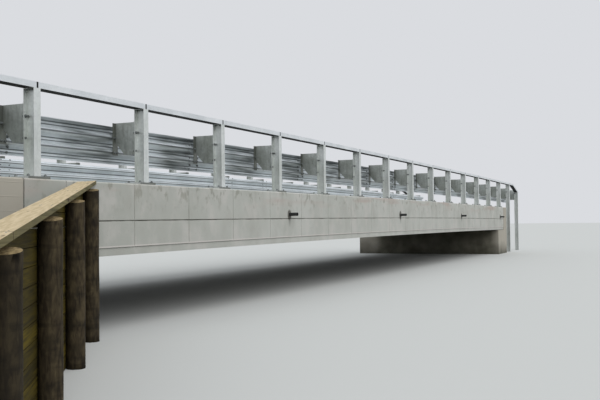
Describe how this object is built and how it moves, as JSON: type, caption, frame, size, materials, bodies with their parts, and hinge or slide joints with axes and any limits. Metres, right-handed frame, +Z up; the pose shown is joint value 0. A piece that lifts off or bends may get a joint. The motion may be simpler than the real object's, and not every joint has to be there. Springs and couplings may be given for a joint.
{
  "type": "road bridge",
  "caption": "Cambered concrete road bridge on low abutments, with corrugated steel barrier rails, a flat top rail on steel posts, and splayed timber wing walls of poles and boards.",
  "frame": {"origin": "mid-span on the bridge's centre line, at the level of the feet of its walls", "axes": "+X along the road, +Y across it from the front side to the back side, +Z up"},
  "size_m": [34.6108, 11.8938, 2.9498],
  "materials": {
    "concrete_kerb": "cast concrete, weathered",
    "concrete_beam": "cast concrete, weathered",
    "concrete_deck": "brushed concrete, worn",
    "concrete_wall": "cast concrete, damp stained",
    "bearing_rubber": "matte",
    "drain_pipe": "black polyethylene pipe, matte",
    "post_steel": "hot-dip galvanised, dull",
    "rail_steel": "hot-dip galvanised, dull",
    "top_rail_steel": "hot-dip galvanised, dull",
    "pole_timber": "weathered round pine",
    "board_timber": "treated pine boards",
    "cap_timber": "weathered sawn plank"
  },
  "bodies": {
    "root": {"front_kerb": "concrete_kerb", "back_kerb": "concrete_kerb", "front_edge_beam": "concrete_beam", "back_edge_beam": "concrete_beam", "inner_beams": "concrete_beam", "deck_slab": "concrete_deck", "left_abutment": "concrete_wall", "right_abutment": "concrete_wall", "left_backwall": "concrete_wall", "right_backwall": "concrete_wall", "left_bearing_pads": "bearing_rubber", "right_bearing_pads": "bearing_rubber", "front_drain_pipes": "drain_pipe", "back_drain_pipes": "drain_pipe", "front_barrier_posts": "post_steel", "back_barrier_posts": "post_steel", "front_left_end_posts": "post_steel", "front_right_end_posts": "post_steel", "back_left_end_posts": "post_steel", "back_right_end_posts": "post_steel", "front_blockouts": "post_steel", "back_blockouts": "post_steel", "front_thrie_rails": "rail_steel", "back_thrie_rails": "rail_steel", "front_top_rails": "top_rail_steel", "back_top_rails": "top_rail_steel", "front_left_rail_end": "top_rail_steel", "front_right_rail_end": "top_rail_steel", "back_left_rail_end": "top_rail_steel", "back_right_rail_end": "top_rail_steel", "front_left_wing_poles": "pole_timber", "back_left_wing_poles": "pole_timber", "front_left_wing_boards": "board_timber", "back_left_wing_boards": "board_timber", "front_left_wing_cap": "cap_timber", "back_left_wing_cap": "cap_timber"}
  },
  "joints": []
}
